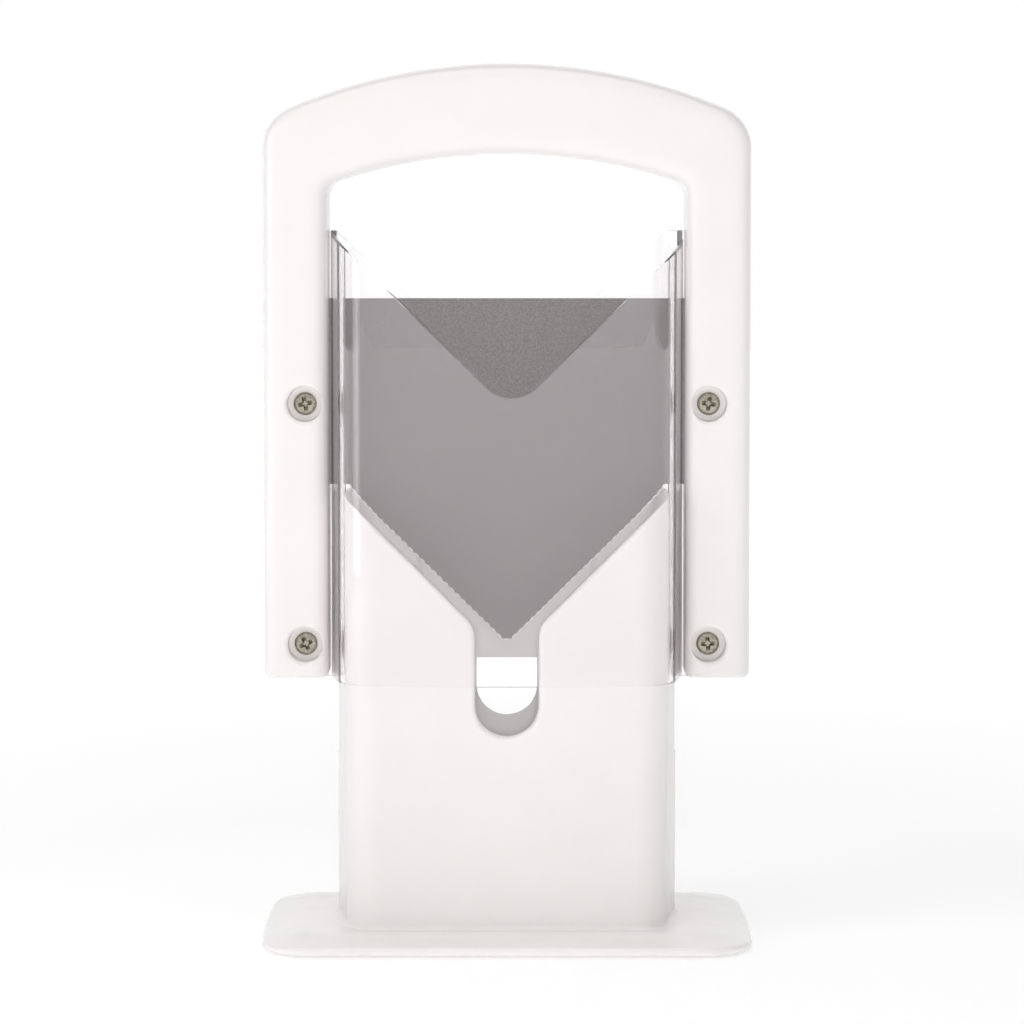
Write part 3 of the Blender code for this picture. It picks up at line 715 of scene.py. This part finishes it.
def scalloped_edge(inset):
    """Right-hand cutting edge from the tip to the shoulder: shallow hollows between teeth."""
    start = Vector((BLADE_TIP_HALF, BLADE_TIP))
    end = Vector((BLADE_TIP_HALF + (BLADE_SHOULDER - BLADE_TIP) / 0.985, BLADE_SHOULDER))
    along = (end - start) / TEETH_PER_SIDE
    inward = Vector((-along.y, along.x)).normalized()
    start += inward * inset
    end += inward * inset
    steps = 8
    points = []
    for tooth in range(TEETH_PER_SIDE):
        for i in range(steps):
            share = i / steps
            rise = TOOTH_DEPTH * math.sin(math.pi * share) ** 0.8
            points.append(tuple(start + along * (tooth + share) + inward * rise))
    points.append(tuple(end))
    return points


def blade_outline(inset):
    """Outline of the blade, with its cutting edge moved inwards by the inset."""
    round_out = 2.0 * MM
    corner_x = BLADE_HALF_WIDTH - round_out
    right = [(0.0, BLADE_TIP + inset)] + scalloped_edge(inset)
    right += arc((corner_x, BLADE_SHOULDER + round_out), round_out, -90.0, 0.0, 8)
    right += arc((corner_x, BLADE_TOP - round_out), round_out, 0.0, 90.0, 8)
    right.append((0.0, BLADE_TOP))
    return mirrored(right)


def make_blade(screws, coating, steel):
    """Coated sheet whose scalloped edge is ground to bare steel from the front."""
    half = BLADE_THICKNESS / 2
    blade = new_object("blade_plate", skin([upright(blade_outline(BLADE_BEVEL), -half),
                                            upright(blade_outline(0.0), -0.5 * half),
                                            upright(blade_outline(0.0), half)]))
    upper = max(z for x, z in screws)
    for x, z in screws:
        if z == upper:
            combine(blade, turned([(CLEAR_HOLE, -MM), (CLEAR_HOLE, MM)], (x, 0.0, z)))
    finish_piece(blade, "carrier", "blade", [coating, steel])
    # The ground faces are the ones that slope between the front face and the edge's side walls.
    for face in blade.data.polygons:
        if 0.1 < abs(face.normal.y) < 0.97 and face.center.z < BLADE_SHOULDER:
            face.material_index = 1
    return blade


# ---------------------------------------------------------------- shields

def shield_path(side):
    """Plan of a shield's inner surface, from its right flange round to its left flange."""
    clearance = 0.5 * MM
    front_y = COLUMN_HALF_DEPTH + 0.5 * MM
    bow = 2.6 * MM
    side_x = COLUMN_RIDGE_X + clearance
    start = (side_x - SIDE_SLOPE * FLANGE_INNER, FLANGE_INNER)
    corner = (side_x - SIDE_SLOPE * front_y, front_y)
    corner_arc = round_corner(start, corner, (0.0, front_y), COLUMN_CORNER + clearance, 20)
    half = [(FLANGE_END, FLANGE_INNER), start] + corner_arc
    bow_x = corner_arc[-1][0]
    steps = 18
    for i in range(1, steps + 1):
        x = bow_x * (1 - i / steps)
        half.append((x, front_y + bow * (1 - (x / bow_x) ** 2)))
    path = half + [(-x, y) for x, y in reversed(half[:-1])]
    return [(x, side * y) for x, y in path]


def offset_path(path, distance):
    """The path moved sideways by a distance, square to its runs, with mitred corners."""
    moved = []
    for i, point in enumerate(path):
        here = Vector(point)
        before = (here - Vector(path[i - 1])).normalized() if i else None
        after = (Vector(path[i + 1]) - here).normalized() if i < len(path) - 1 else None
        before = before or after
        after = after or before
        mitre = Vector((-before.y - after.y, before.x + after.x)).normalized()
        scale = 1 / mitre.dot(Vector((-after.y, after.x)))
        moved.append(tuple(here + mitre * distance * scale))
    return moved


def shield_notch(apex, side):
    """Cutter for a shield's V notch. It widens towards both faces of the wall, to round its rims."""
    outer = abs(SHIELD_LOW.y)
    angles = [math.radians(22.5 * i) for i in range(5)]
    stations = [(FLANGE_OUTER + 0.5 * MM, SHIELD_RIM)]
    for angle in angles:
        stations.append((outer - SHIELD_WALL + SHIELD_RIM * (1 - math.cos(angle)),
                         SHIELD_RIM * (1 - math.sin(angle))))
    for angle in reversed(angles):
        stations.append((outer - SHIELD_RIM * (1 - math.cos(angle)),
                         SHIELD_RIM * (1 - math.sin(angle))))
    stations.append((outer + 9.0 * MM, SHIELD_RIM))
    rings = []
    for depth, grow in stations:
        outline = v_outline(apex, -side * SHIELD_NOTCH_OFFSET, SHIELD_TOP + 10.0 * MM,
                            SHIELD_NOTCH_ROUND, grow, 20)
        rings.append(upright(outline, side * depth))
    return skin(rings)


def make_shield(name, side, screws, material):
    inner = shield_path(side)
    outer = offset_path(inner, side * -SHIELD_WALL)
    outline = inner + list(reversed(outer))
    node = f"shield_{name}"
    shield = new_object(f"{name}_shield", skin([level(outline, SHIELD_BOTTOM),
                                                level(outline, SHIELD_TOP)]))
    soften(shield, SHIELD_EDGE)
    combine(shield, shield_notch(SHIELD_NOTCHES[name], side))
    for x, z in screws:
        combine(shield, turned([(CLEAR_HOLE, -side * 4.0 * MM), (CLEAR_HOLE, 0.0)], (x, 0.0, z)))
    return finish_piece(shield, "carrier", node, [material])


# ---------------------------------------------------------------- screws

def screw_profile(length):
    """Half section of a pan-head screw as (radius, height above the head's seat)."""
    crown = 1.3 * MM
    soft = 0.25 * MM
    profile = [(0.0, HEAD_HEIGHT)]
    for i in range(1, 11):
        angle = math.radians(84.0 * i / 10)
        profile.append((HEAD_RADIUS * math.sin(angle), HEAD_HEIGHT - crown * (1 - math.cos(angle))))
    profile += [(HEAD_RADIUS, HEAD_HEIGHT - crown - 0.1 * MM), (HEAD_RADIUS, soft),
                (HEAD_RADIUS - soft, 0.0), (SHANK_RADIUS, 0.0), (SHANK_RADIUS, 1.5 * MM - length),
                (0.7 * MM, -length), (0.0, -length)]
    return profile


def cross_wing(place, turn):
    """One wing of a Phillips recess: a blade that narrows towards the recess's floor."""
    depth = 1.9 * MM
    rings = []
    for forward, reach, width in ((-depth, 1.0 * MM, 0.34 * MM), (0.3 * MM, 3.1 * MM, 0.86 * MM)):
        corners = [(reach, width), (-reach, width), (-reach, -width), (reach, -width)]
        ring = []
        for x, z in corners:
            across = x * math.cos(turn) - z * math.sin(turn)
            along = x * math.sin(turn) + z * math.cos(turn)
            ring.append((place[0] + across, place[1] - forward, place[2] + along))
        rings.append(ring)
    return skin(rings)


def make_screws(screws, material):
    turns = (12.0, -8.0, 25.0, 4.0)
    for number, ((x, z), turn) in enumerate(zip(screws, turns), start=1):
        node = f"screw_{number}"
        low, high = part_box(node)
        seat = low.y + HEAD_HEIGHT
        screw = new_object(f"screw_{number}_steel", turned(screw_profile(high.y - seat), (x, seat, z)))
        for quarter in (0, 90):
            angle = math.radians(turn + quarter)
            combine(screw, cross_wing((x, low.y, z), angle))
        finish_piece(screw, "carrier", node, [material])


# ---------------------------------------------------------------- studio

def make_floor():
    """Pale floor that glows more with distance, so that it runs into the white background."""
    material, tree, shader = new_material("studio_floor")
    shader.inputs["Base Color"].default_value = (0.84, 0.84, 0.84, 1.0)
    shader.inputs["Roughness"].default_value = 0.9
    shader.inputs["Emission Color"].default_value = (1.0, 1.0, 1.0, 1.0)
    place = tree.nodes.new("ShaderNodeTexCoord")
    distance = tree.nodes.new("ShaderNodeVectorMath")
    distance.operation = "LENGTH"
    tree.links.new(place.outputs["Object"], distance.inputs[0])
    glow = spread(tree, distance.outputs["Value"], 0.31, 0.72, start=0.25, end=1.3)
    tree.links.new(glow, shader.inputs["Emission Strength"])
    size = 6.0
    floor = new_object("studio_floor", block((-size, -size, -0.02), (size, size, 0.0)))
    floor.data.materials.append(material)


def world_light(tree, strength):
    light = tree.nodes.new("ShaderNodeBackground")
    light.inputs["Color"].default_value = (1.0, 1.0, 1.0, 1.0)
    tree.links.new(strength, light.inputs["Strength"])
    return light.outputs["Background"]


def make_world():
    """White background that lights from behind.

    Gloss and clear pieces see a studio that is white in front and behind, and dark at the sides.
    """
    world = bpy.data.worlds.new("studio")
    bpy.context.scene.world = world
    world.use_nodes = True
    tree = world.node_tree
    tree.nodes.clear()
    place = tree.nodes.new("ShaderNodeTexCoord")
    parts = tree.nodes.new("ShaderNodeSeparateXYZ")
    tree.links.new(place.outputs["Generated"], parts.inputs["Vector"])
    backward = parts.outputs["Y"]
    around = tree.nodes.new("ShaderNodeMath")
    around.operation = "ADD"
    tree.links.new(spread(tree, backward, 0.10, 1.07, 0.35, 0.80), around.inputs[0])
    tree.links.new(spread(tree, backward, 0.82, 0.0, -0.75, -0.30), around.inputs[1])
    lit = world_light(tree, spread(tree, backward, 0.0, 0.84, -0.35, 0.35))
    mirrored = world_light(tree, around.outputs["Value"])
    seen = tree.nodes.new("ShaderNodeBackground")
    seen.inputs["Color"].default_value = (1.0, 1.0, 1.0, 1.0)
    path = tree.nodes.new("ShaderNodeLightPath")
    out = tree.nodes.new("ShaderNodeOutputWorld")
    shown = mirrored
    for ray, light in (("Is Diffuse Ray", lit), ("Is Camera Ray", seen.outputs["Background"])):
        mix = tree.nodes.new("ShaderNodeMixShader")
        tree.links.new(path.outputs[ray], mix.inputs["Fac"])
        tree.links.new(shown, mix.inputs[1])
        tree.links.new(light, mix.inputs[2])
        shown = mix.outputs["Shader"]
    tree.links.new(shown, out.inputs["Surface"])


def make_softbox(name, place, width, height, power, cone=180.0, mirrored_too=True):
    """Soft lamp that faces the object. Some lamps light it without showing in its gloss."""
    light = bpy.data.lights.new(name, "AREA")
    light.shape = "RECTANGLE"
    light.size = width
    light.size_y = height
    light.energy = power
    light.spread = math.radians(cone)
    obj = bpy.data.objects.new(name, light)
    bpy.context.scene.collection.objects.link(obj)
    obj.location = place
    middle = Vector((0.0, 0.0, 0.17))
    obj.rotation_euler = (middle - Vector(place)).to_track_quat("-Z", "Y").to_euler()
    obj.visible_camera = False
    obj.visible_glossy = mirrored_too
    obj.visible_transmission = mirrored_too


def make_lights():
    make_softbox("front_softbox", (0.0, -1.25, 0.262), 0.08, 0.06, 0.60, cone=60.0, mirrored_too=False)
    make_softbox("left_softbox", (-1.0, -0.5, 0.45), 0.35, 0.9, 2.6)
    make_softbox("top_softbox", (0.0, -0.35, 1.3), 1.2, 0.8, 5.6)


def make_camera():
    """Long lens on the middle line, level with the handle's corners and tipped down a little."""
    camera = bpy.data.cameras.new("camera")
    camera.sensor_width = 36.0
    camera.lens = 115.7
    camera.shift_x = 0.005
    camera.shift_y = -0.07
    camera.clip_start = 0.05
    camera.clip_end = 50.0
    obj = bpy.data.objects.new("camera", camera)
    bpy.context.scene.collection.objects.link(obj)
    obj.location = (0.0, -1.207, 0.2585)
    obj.rotation_euler = (math.radians(90.0 - 3.65), 0.0, 0.0)
    bpy.context.scene.camera = obj


# ---------------------------------------------------------------- build

def screw_places():
    places = []
    for number in range(1, 5):
        low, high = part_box(f"screw_{number}")
        places.append(((low.x + high.x) / 2, (low.z + high.z) / 2))
    return places


def main():
    holder_white = white_plastic("holder_white_abs", (0.86, 0.83, 0.822), 0.24, glow_through=0.6)
    handle_white = white_plastic("handle_white_abs", (0.88, 0.85, 0.842), 0.22)
    clear = clear_acrylic("clear_acrylic_sheet")
    screws = screw_places()
    make_holder(holder_white)
    make_pads(pad_rubber("grey_pad_rubber"))
    make_handle_half("handle_shell_front", "handle_front", -1, screws, handle_white)
    make_handle_half("handle_shell_rear", "handle_rear", 1, screws, handle_white)
    make_blade(screws, blade_coating("blade_release_coating"), ground_steel("ground_steel"))
    make_shield("front", -1, screws, clear)
    make_shield("rear", 1, screws, clear)
    make_screws(screws, nickel("nickel_plating"))
    make_floor()
    make_world()
    make_lights()
    make_camera()
    bpy.context.scene.view_settings.view_transform = "Standard"


main()
